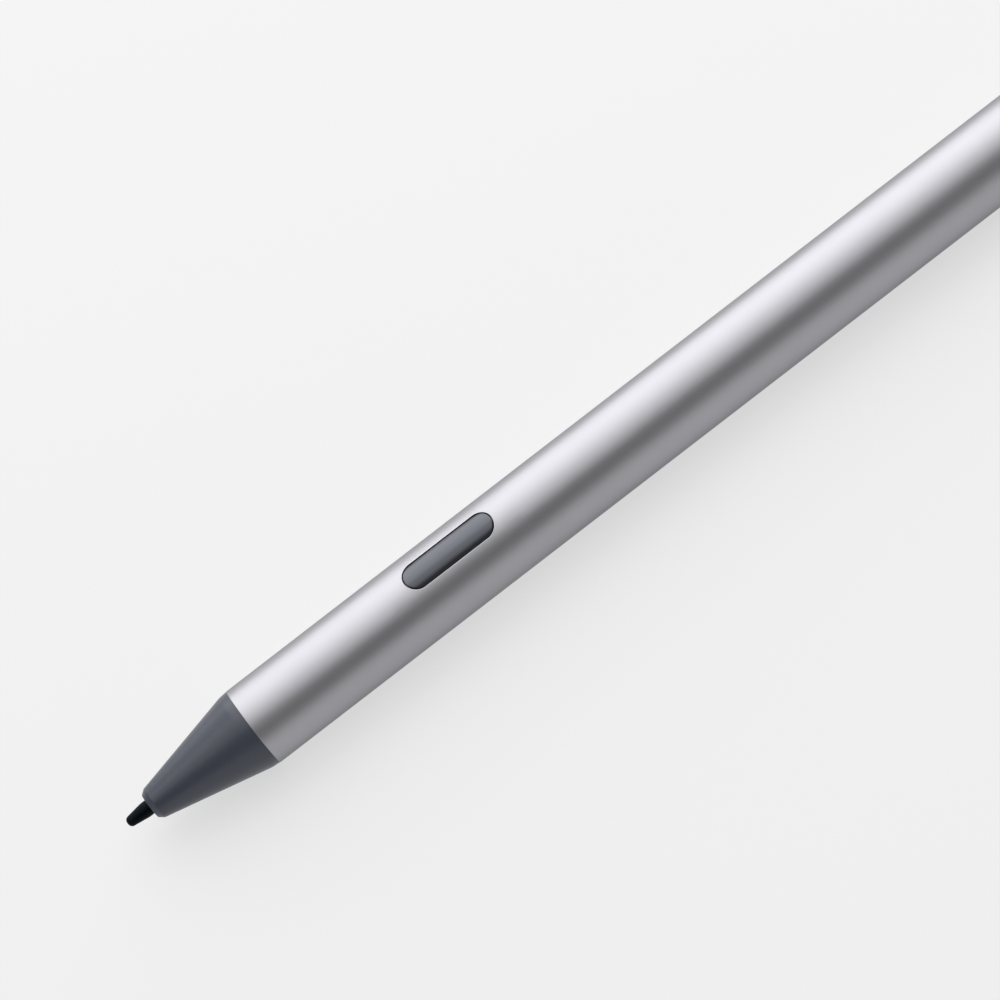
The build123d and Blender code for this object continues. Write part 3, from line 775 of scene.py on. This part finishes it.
def slot_place(station, sideways, widen):
    """Plan of the point on the slot's edge, widened by a size, that faces a point round it."""
    reach = (SLOT_LENGTH - SLOT_WIDTH) / 2
    middle = Vector((max(slot_middle - reach, min(slot_middle + reach, station)), 0))
    way = (Vector((station, sideways)) - middle).normalized()
    return middle + way * (SLOT_WIDTH / 2 + widen)


def on_tube(plan, radius, sink=0.0):
    """Place on a tube's upper side above a plan point, sunk by a depth."""
    return plan.x, plan.y, AXIS_HEIGHT + math.sqrt(radius**2 - plan.y**2) - sink


def barrel_mesh():
    """A tube with rounded ends and the side button's slot, whose rim has a fine edge break."""
    vertices = []
    faces = []
    step = math.tau / SIDES
    half = PATCH_SIDES // 2
    patch_front = slot_middle - PATCH_LENGTH / 2
    stations = [patch_front + PATCH_LENGTH * k / PATCH_STEPS for k in range(PATCH_STEPS + 1)]

    def put(place):
        """Adds a vertex and gives its number."""
        vertices.append(place)
        return len(vertices) - 1

    def ring(station, radius):
        """Vertices all round the tube at a station."""
        return [
            put((station, radius * math.sin(k * step), AXIS_HEIGHT + radius * math.cos(k * step)))
            for k in range(SIDES)
        ]

    def wall_rows(radius):
        """Rings along the slot's stretch, joined outside the patch."""
        rows = [ring(station, radius) for station in stations]
        for one, other in zip(rows, rows[1:]):
            for k in range(half, SIDES - half):
                after = (k + 1) % SIDES
                faces.append((one[k], one[after], other[after], other[k]))
        return rows

    def patch_edge(rows):
        """The vertices round the patch, in order."""
        right = [row[half] for row in rows]
        left = [row[-half] for row in rows]
        front = [rows[0][k] for k in range(1 - half, half)]
        rear = [rows[-1][k] for k in range(half - 1, -half, -1)]
        return front + right + rear + left[::-1]

    outer = wall_rows(BARREL_RADIUS)
    inner = wall_rows(BORE)
    rings = [patch_edge(outer)]
    around = [Vector(vertices[k][:2]) for k in rings[0]]
    for k in range(1, PATCH_RINGS):
        share = (1 - k / PATCH_RINGS) ** 2
        plans = [slot_place(*p, SLOT_RIM) for p in around]
        rings.append([put(on_tube(q.lerp(p, share), BARREL_RADIUS)) for p, q in zip(around, plans)])
    for k in range(RIM_STEPS + 1):
        angle = math.pi / 2 * k / RIM_STEPS
        widen = SLOT_RIM * (1 - math.sin(angle))
        sink = SLOT_RIM * (1 - math.cos(angle))
        rings.append([put(on_tube(slot_place(*p, widen), BARREL_RADIUS, sink)) for p in around])
    rings.append([put(on_tube(slot_place(*p, 0), BORE)) for p in around])
    rings.append(patch_edge(inner))
    faces.extend(joined(rings))

    def end(station, inward, outer_row, inner_row):
        """A rounded end of the tube, from the outer wall to the bore."""
        rows = [outer_row, ring(station + inward * (BARREL_EDGE + SUPPORT), BARREL_RADIUS)]
        for k in range(RIM_STEPS + 1):
            angle = math.pi / 2 * k / RIM_STEPS
            rows.append(
                ring(
                    station + inward * BARREL_EDGE * (1 - math.sin(angle)),
                    BARREL_RADIUS - BARREL_EDGE * (1 - math.cos(angle)),
                )
            )
        rows += [ring(station, BORE), inner_row]
        faces.extend(joined(rows))

    end(barrel_front, 1, outer[0], inner[0])
    end(barrel_rear, -1, outer[-1], inner[-1])
    return shell("barrel_tube", vertices, faces, satin_aluminium)


def cone_mesh():
    """The nose cone: a chamfered mouth, a taper, a band beside the barrel, a spigot and a stepped bore."""
    cavity = girth("nib_guide_bush") + FIXED_GAP
    electrode_seat = girth("ring_electrode") + FIXED_GAP
    corners = [
        (cone_front, NOSE_HOLE, CONE_HOLE_EDGE),
        (cone_front, CONE_MOUTH, CONE_MOUTH_EDGE),
        (cone_front + CONE_CHAMFER_RUN, CONE_CHAMFER, CONE_CHAMFER_ROUND),
        (barrel_front - CONE_BAND_RUN, CONE_BAND, CONE_BAND_ROUND),
        (barrel_front, BARREL_RADIUS - CONE_REAR_STEP),
        (barrel_front, BORE - FIXED_GAP),
        (spigot_rear, BORE - FIXED_GAP, SPIGOT_EDGE),
        (spigot_rear, cavity),
        (guide_front, cavity),
        (guide_front, electrode_seat),
        (electrode_front, electrode_seat),
        (electrode_front, NOSE_HOLE),
    ]
    return turned("nose_cone_moulding", corners, True, dark_grey_plastic)


def nib_mesh():
    """The nib: a round tip, a short taper, the shank and the stem that plugs into the holder."""
    shank = girth("nib")
    corners = [
        (nib_front, 0),
        (nib_front, NIB_TIP, NIB_TIP_ROUND),
        (nib_front + NIB_TAPER, shank, NIB_TAPER),
        (holder_front, shank, NIB_EDGE),
        (holder_front, NIB_STEM),
        (nib_rear, NIB_STEM, NIB_EDGE),
        (nib_rear, 0),
    ]
    return turned("nib_point", corners, False, nib_black)


def button_mesh():
    """The side button: a crowned pill with soft edges, its lip inside the tube and its post."""
    vertices = []
    lip_outer = BORE - LIP_GAP
    lip_inner = lip_outer - BUTTON_LIP_THICKNESS
    crown_axis = crown_top - BUTTON_CROWN
    half_length = SLOT_LENGTH / 2 - BUTTON_GAP
    width = SLOT_WIDTH / 2
    reach = half_length - (width - BUTTON_GAP)
    plans = []
    for end in (1, -1):
        for k in range(BUTTON_ARC_STEPS):
            angle = end * math.pi / 2 - math.pi * k / BUTTON_ARC_STEPS
            plans.append((end * reach, Vector((math.cos(angle), math.sin(angle)))))
        for k in range(BUTTON_STRAIGHT_STEPS):
            plans.append((end * reach * (1 - 2 * k / BUTTON_STRAIGHT_STEPS), Vector((0, -end))))

    def crown(along, sideways):
        """Height of the crown, which drops a little towards its ends."""
        drop = BUTTON_DROP * (along / half_length) ** 2
        return crown_axis + math.sqrt(BUTTON_CROWN**2 - sideways**2) - drop

    def ring(offset, height):
        """Vertices round the pill at an offset from its middle line, at a height that is worked out."""
        made = []
        for middle, way in plans:
            along = middle + way.x * offset
            sideways = way.y * offset
            vertices.append((slot_middle + along, sideways, AXIS_HEIGHT + height(along, sideways)))
            made.append(len(vertices) - 1)
        return made

    edge = width - BUTTON_GAP
    flat = edge - BUTTON_EDGE
    rings = [ring(flat * k / BUTTON_RINGS, crown) for k in range(BUTTON_RINGS + 1)]
    for k in range(1, RIM_STEPS + 1):
        angle = math.pi / 2 * k / RIM_STEPS
        sink = BUTTON_EDGE * (1 - math.cos(angle))
        offset = flat + BUTTON_EDGE * math.sin(angle)
        rings.append(ring(offset, lambda along, sideways, sink=sink: crown(along, sideways) - sink))

    def tube(radius):
        """Heights on a tube of a radius."""
        return lambda along, sideways: math.sqrt(radius**2 - sideways**2)

    rings.append(ring(edge, tube(lip_outer)))
    rings.append(ring(width + BUTTON_LIP, tube(lip_outer)))
    rings.append(ring(width + BUTTON_LIP, tube(lip_inner)))
    rings.append(ring(0, tube(lip_inner)))
    faces = joined(rings)
    post = []
    for height in (lip_inner + BUTTON_LIP_THICKNESS / 2, button_foot):
        for along, sideways in ((-1, -1), (1, -1), (1, 1), (-1, 1)):
            vertices.append(
                (slot_middle + along * BUTTON_POST, sideways * BUTTON_POST, AXIS_HEIGHT + height)
            )
            post.append(len(vertices) - 1)
    faces.append(tuple(post[:4]))
    faces.append(tuple(post[:3:-1]))
    faces += joined((post[:4], post[4:]))
    return shell("side_button_cap", vertices, faces, gunmetal)


# Tail and cell


def sleeve_mesh():
    """The tail sleeve, with the lip round the end button."""
    corners = [
        (sleeve_front, BORE),
        (sleeve_front, BARREL_RADIUS, BARREL_EDGE),
        (sleeve_rear, BARREL_RADIUS, TAIL_EDGE),
        (sleeve_rear, TAIL_LIP, FINE_EDGE),
        (sleeve_rear - TAIL_LIP_THICKNESS, TAIL_LIP),
        (sleeve_rear - TAIL_LIP_THICKNESS, BORE),
    ]
    return turned("tail_sleeve_tube", corners, True, satin_aluminium)


def tail_button_mesh():
    """The end button: a domed head with a soft edge, its flange behind the lip and its post."""
    head = TAIL_LIP - TAIL_BUTTON_GAP
    flange = BORE - LIP_GAP
    flange_rear = sleeve_rear - TAIL_LIP_THICKNESS - END_GAP
    head_edge = tail_end - TAIL_DOME
    cup = head - TAIL_BUTTON_WALL
    dome = (head**2 + TAIL_DOME**2) / (2 * TAIL_DOME)
    corners = []
    for k in range(TAIL_DOME_STEPS):
        radius = head * k / (TAIL_DOME_STEPS + 1)
        corners.append((tail_end - dome + math.sqrt(dome**2 - radius**2), radius))
    corners += [
        (head_edge, head, TAIL_BUTTON_EDGE),
        (flange_rear, head),
        (flange_rear, flange, FINE_EDGE),
        (flange_rear - TAIL_FLANGE, flange, FINE_EDGE),
        (flange_rear - TAIL_FLANGE, cup),
        (head_edge - TAIL_BUTTON_WALL, cup),
        (head_edge - TAIL_BUTTON_WALL, TAIL_POST),
        (tail_post_front, TAIL_POST, FINE_EDGE),
        (tail_post_front, 0),
    ]
    return turned("tail_button_cap", corners, False, dark_grey_plastic)


def plug_mesh():
    """The tail plug, with the o-ring's groove, the spring's recess and the chip's pocket."""
    spigot = girth("tail_plug")
    pocket = spigot - PLUG_WALL
    groove_front = plug_front + GROOVE_INSET
    groove_rear = groove_front + RING_SECTION + 2 * GROOVE_ROOM
    groove_floor = BORE - FIXED_GAP - RING_SECTION - FIXED_GAP
    corners = [
        (plug_front + PLUG_RECESS, PLUG_LEAD),
        (plug_front + PLUG_RECESS, pocket),
        (plug_front, pocket, FINE_EDGE),
        (plug_front, spigot, PLUG_EDGE),
        (groove_front, spigot, FINE_EDGE),
        (groove_front, groove_floor, FINE_EDGE),
        (groove_rear, groove_floor, FINE_EDGE),
        (groove_rear, spigot, FINE_EDGE),
        (plug_rear, spigot, FINE_EDGE),
        (plug_rear, pocket),
        (plug_rear - PLUG_POCKET, pocket),
        (plug_rear - PLUG_POCKET, PLUG_LEAD),
    ]
    return turned("tail_plug_moulding", corners, True, black_plastic)


def o_ring_mesh():
    """The o-ring: a round section, a little flat where the barrel squeezes it."""
    middle = plug_front + GROOVE_INSET + GROOVE_ROOM + RING_SECTION / 2
    section = RING_SECTION / 2
    outer = BORE - FIXED_GAP
    round_section = section * RING_FULLNESS
    corners = [
        (middle - section, outer - 2 * section, round_section),
        (middle - section, outer, round_section),
        (middle + section, outer, round_section),
        (middle + section, outer - 2 * section, round_section),
    ]
    return turned("tail_o_ring_seal", corners, True, black_rubber)


def cell_mesh():
    """The cell's can: a nub, a rounded shoulder, a rounded base and the step round the base plate."""
    can = girth("battery_cell")
    shoulder = cell_front + CELL_NUB_HEIGHT
    corners = [
        (cell_front, 0),
        (cell_front, CELL_NUB, CELL_NUB_EDGE),
        (shoulder, CELL_NUB, FINE_EDGE),
        (shoulder, can, CELL_EDGE),
        (cell_rear, can, CELL_EDGE),
        (cell_rear, CELL_STEP, FINE_EDGE),
        (cell_rear - CELL_STEP_DEPTH, CELL_STEP - CELL_STEP_DEPTH, FINE_EDGE),
        (cell_rear - CELL_STEP_DEPTH, 0),
    ]
    return turned("battery_can", corners, False, cell_can)


def jacket_mesh():
    """The film round the cell, drawn in a little at its ends."""
    front, rear = span("battery_jacket")
    outer = girth("battery_jacket")
    inner = outer - JACKET_WALL
    corners = [
        (front, inner),
        (front, inner + JACKET_WALL / 2),
        (front + JACKET_DRAW, outer, JACKET_DRAW),
        (rear - JACKET_DRAW, outer, JACKET_DRAW),
        (rear, inner + JACKET_WALL / 2),
        (rear, inner),
    ]
    return turned("battery_film", corners, True, jacket_film)


# Springs and small pieces on the board


def spring_mesh(name, node, front_radius=None):
    """A wound spring that fills the length of its CAD node."""
    wire = SPRING_WIRE[node]
    front, rear = span(node)
    coil = girth(node) - wire / 2
    sizes = {
        "Front": (front + wire / 2) * MM,
        "Rear": (rear - wire / 2) * MM,
        "Front Radius": (front_radius or coil) * MM,
        "Rear Radius": coil * MM,
        "Turns": SPRING_TURNS[node],
        "Flat Turns": SPRING_FLAT_TURNS,
        "Wire": wire * MM,
        "Axis Height": AXIS_HEIGHT * MM,
        "Material": spring_steel,
    }
    return grown(WOUND, name, bpy.data.meshes.new(name), sizes)


def laid_out(name, single, counts, pitches, first, material):
    """Copies of one small piece's mesh in columns and rows."""
    sizes = {
        "Columns": counts[0],
        "Rows": counts[1],
        "Column Pitch": pitches[0] * MM,
        "Row Pitch": pitches[1] * MM,
        "First Place": Vector(first) * MM,
        "Material": material,
    }
    return grown(LAID_OUT, name, single, sizes)


def screw_mesh():
    """The board's screws: a cross recess in a low round head, and a ridged shank."""
    front, rear = span("board_screws")
    low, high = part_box("board_screws")
    head = girth("board_screws")
    length = (high.z - low.z) / MM
    vertices = []
    rings = []

    def cross(angle):
        """Reach of the cross recess at an angle: to an arm's end or to its side."""
        within = abs((angle + math.pi / 4) % (math.pi / 2) - math.pi / 4)
        side = SCREW_CROSS * math.tan(SCREW_ARM)
        return min(SCREW_CROSS / math.cos(within), side / max(math.sin(within), MERGE))

    def ring(reach, height):
        """Vertices round the screw, at a reach that is a size or is worked out for each angle."""
        start = len(vertices)
        for k in range(SCREW_SIDES):
            angle = math.tau * k / SCREW_SIDES
            radius = reach(angle) if callable(reach) else reach
            vertices.append((radius * math.cos(angle), radius * math.sin(angle), height))
        rings.append(list(range(start, start + SCREW_SIDES)))

    ring(cross, -SCREW_RECESS)
    ring(cross, 0)
    for share, depth in SCREW_CROWN:
        ring(head * share, -depth)
    thread_pitch = (length - SCREW_HEAD) / SCREW_THREADS
    for k in range(SCREW_THREADS):
        ring(SCREW_SHANK - SCREW_THREAD, -SCREW_HEAD - thread_pitch * k)
        ring(SCREW_SHANK, -SCREW_HEAD - thread_pitch * (k + 0.5))
    ring(SCREW_SHANK - SCREW_THREAD, -length)
    faces = [tuple(rings[0]), tuple(rings[-1])] + joined(rings)
    single = shell("board_screw", vertices, faces, spring_steel)
    first = (front + head, 0, high.z / MM)
    pitch = (rear - front - 2 * head) / (SCREW_COUNT - 1)
    return laid_out("board_screw_pair", single, (SCREW_COUNT, 1), (pitch, 0), first, spring_steel)


def eased_block(name, size, middle, edge, material):
    """A block with rounded edges."""
    form = bmesh.new()
    bmesh.ops.create_cube(form, size=1)
    for vertex in form.verts:
        vertex.co = Vector([vertex.co[k] * size[k] + middle[k] for k in range(3)]) * MM
    rounding = {"offset": edge * MM, "segments": BLOCK_EDGE_STEPS, "profile": 0.5}
    bmesh.ops.bevel(form, geom=form.edges[:], affect="EDGES", **rounding)
    mesh = bpy.data.meshes.new(name)
    form.to_mesh(mesh)
    form.free()
    mesh.materials.append(material)
    return mesh


def capacitor_meshes():
    """The capacitors' ceramic bodies and their tinned ends, as they lie under the board."""
    low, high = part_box("board_capacitors")
    length, width, height = CAPACITOR_SIZE
    counts = (
        round(((high.x - low.x) / MM - length) / CAPACITOR_PITCH) + 1,
        round(((high.y - low.y) / MM - width) / CAPACITOR_PITCH) + 1,
    )
    pitches = (CAPACITOR_PITCH, CAPACITOR_PITCH)
    first = Vector((low.x / MM + length / 2, low.y / MM + width / 2, (low.z + high.z) / 2 / MM))
    inset = 2 * CAPACITOR_STEP
    body_size = (length - 2 * inset, width - inset, height - inset)
    end_size = (CAPACITOR_END, width, height)
    body = eased_block("capacitor_body", body_size, (0, 0, 0), CAPACITOR_STEP, capacitor_tan)
    bodies = laid_out("capacitor_bodies", body, counts, pitches, first, capacitor_tan)
    ends = []
    for way in (-1, 1):
        middle = (way * (length - CAPACITOR_END) / 2, 0, 0)
        end = eased_block("capacitor_end", end_size, middle, 2 * CAPACITOR_STEP, spring_steel)
        name = "capacitor_front_ends" if way < 0 else "capacitor_rear_ends"
        ends.append(laid_out(name, end, counts, pitches, first, spring_steel))
    return bodies, ends


def press(coil):
    """Gives a coil its own copy of its mesh."""
    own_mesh(coil)


# The pieces in their places
fit("barrel_tube", barrel_mesh(), "barrel", "barrel")
fit("nose_cone_moulding", cone_mesh(), "barrel", "nose_cone")
fit("nib_point", nib_mesh(), "nib", "nib")
fit("side_button_cap", button_mesh(), "side_button", "side_button")
fit("tail_sleeve_tube", sleeve_mesh(), "tail", "tail_sleeve")
fit("tail_button_cap", tail_button_mesh(), "tail_button", "tail_button")
fit("tail_plug_moulding", plug_mesh(), "tail", "tail_plug")
fit("tail_o_ring_seal", o_ring_mesh(), "tail", "tail_o_ring")
fit("battery_can", cell_mesh(), "cell", "battery_cell")
fit("battery_film", jacket_mesh(), "cell", "battery_jacket")
fit("board_screw_pair", screw_mesh(), "barrel", "board_screws")
capacitor_bodies, capacitor_ends = capacitor_meshes()
fit("capacitor_bodies", capacitor_bodies, "barrel", "board_capacitors")
for ends in capacitor_ends:
    carry(ends.name, ends, "barrel")

battery_wire = spring_mesh("battery_spring_wire", "battery_spring", BATTERY_SPRING_FRONT)
fit("battery_spring_wire", battery_wire, "tail", "battery_spring")
nib_wire = spring_mesh("nib_spring_wire", "nib_spring")
nib_coil = fit("nib_spring_wire", nib_wire, "barrel", "nib_spring")
tail_wire = spring_mesh("tail_spring_wire", "tail_button_spring")
tail_coil = fit("tail_spring_wire", tail_wire, "tail", "tail_button_spring")

press(nib_coil)
press(tail_coil)

# Finishes of the CAD pieces that show as they are
PLAIN = {
    "ring_electrode": brass,
    "nib_guide_bush": white_plastic,
    "nib_holder": brass,
    "pressure_pad": silicone,
    "pressure_sensor": ceramic,
    "chassis": black_plastic,
    "main_board": circuit_board,
    "controller_chip": chip_black,
    "driver_chip": chip_black,
    "radio_chip": chip_black,
    "crystal_can": stamped_steel,
    "side_switch": black_plastic,
    "side_switch_plunger": white_plastic,
    "front_contact": gold,
    "tail_board": circuit_board,
    "tail_switch": black_plastic,
    "tail_switch_plunger": white_plastic,
}
for node, material in PLAIN.items():
    frame["nodes"][node].data.materials.clear()
    frame["nodes"][node].data.materials.append(material)

# Stage: a pale floor, a dim room, long soft lights and the camera
scene = bpy.context.scene
scene.view_settings.view_transform = "Standard"


def pale_floor():
    """A matt pale finish that is evened out where it is seen, and keeps the pen's shadow."""
    material = bpy.data.materials.new("pale_floor")
    material.use_nodes = True
    tree = material.node_tree
    tree.nodes.remove(tree.nodes["Principled BSDF"])
    light_path = add(tree, "ShaderNodeLightPath").outputs
    seen = reckon(tree, "MAXIMUM", light_path["Is Camera Ray"], light_path["Is Glossy Ray"])
    seen = reckon(tree, "MAXIMUM", seen, light_path["Is Transmission Ray"])
    share = reckon(tree, "MULTIPLY", seen, FLOOR_EVENNESS)
    matt = add(tree, "ShaderNodeBsdfDiffuse", {"Color": FLOOR_COLOR}).outputs[0]
    even = add(tree, "ShaderNodeEmission", {"Color": FLOOR_LIGHT}).outputs[0]
    mixed = add(tree, "ShaderNodeMixShader", {0: share, 1: matt, 2: even}).outputs[0]
    tree.links.new(mixed, tree.nodes["Material Output"].inputs["Surface"])
    return material


def lay_floor():
    """The floor that the pen lies on."""
    mesh = bpy.data.meshes.new("floor")
    reach = FLOOR_SIZE / 2
    corners = [(-reach, -reach, 0), (reach, -reach, 0), (reach, reach, 0), (-reach, reach, 0)]
    mesh.from_pydata(corners, [], [(0, 1, 2, 3)])
    mesh.materials.append(pale_floor())
    floor = bpy.data.objects.new("floor", mesh)
    scene.collection.objects.link(floor)


def light_room():
    """A dim room with a pale horizon that is brighter on the near side."""
    world = bpy.data.worlds.new("room")
    scene.world = world
    world.use_nodes = True
    tree = world.node_tree
    way = add(tree, "ShaderNodeTexCoord").outputs["Generated"]
    parts = add(tree, "ShaderNodeSeparateXYZ", {0: way}).outputs
    rise = between(tree, parts["Z"], HORIZON_LIGHT, ROOM_LIGHT, 0.0, HORIZON_REACH)
    lean = between(tree, parts["Y"], NEAR_SIDE, FAR_SIDE, -1.0, 1.0)
    tree.links.new(reckon(tree, "MULTIPLY", rise, lean), tree.nodes["Background"].inputs["Color"])


def soft_light(name, zenith, width, shift, radiance):
    """A long soft light at an angle from straight up towards the far side, shifted along the pen."""
    lamp = bpy.data.lights.new(name, "AREA")
    lamp.shape = "RECTANGLE"
    lamp.size = LIGHT_LENGTH
    lamp.size_y = width
    lamp.energy = radiance * math.pi * width * LIGHT_LENGTH
    made = bpy.data.objects.new(name, lamp)
    scene.collection.objects.link(made)
    made.location = Vector((shift, math.sin(zenith) * LIGHT_DISTANCE, math.cos(zenith) * LIGHT_DISTANCE))
    made.rotation_euler = (-zenith, 0, 0)
    made.visible_camera = False


def set_camera():
    """The camera, aimed beside the middle of the pen's front part."""
    camera = bpy.data.objects.new("camera", bpy.data.cameras.new("camera"))
    scene.collection.objects.link(camera)
    scene.camera = camera
    camera.data.lens = LENS
    camera.data.sensor_width = SENSOR
    back = Vector((0, -math.sin(CAMERA_TILT), math.cos(CAMERA_TILT)))
    aside = Vector((0, math.cos(CAMERA_TILT), math.sin(CAMERA_TILT)))
    right = Vector((1, 0, 0)) * math.cos(CAMERA_ROLL) - aside * math.sin(CAMERA_ROLL)
    up = back.cross(right)
    aim = Vector((nib_front + AIM_ALONG, 0, AXIS_HEIGHT)) + aside * AIM_ASIDE
    distance = PICTURE_WIDTH * LENS / SENSOR
    turn = Matrix((right, up, back)).transposed().to_4x4()
    camera.matrix_world = Matrix.Translation((aim + back * distance) * MM) @ turn


lay_floor()
light_room()
soft_light("softbox", zenith=math.radians(60), width=0.60, shift=0.66, radiance=2.6)
soft_light("high_softbox", zenith=math.radians(24), width=0.32, shift=0.4, radiance=2.15)
soft_light("overhead", zenith=math.radians(-4.5), width=0.388, shift=0.3, radiance=1.2)
set_camera()
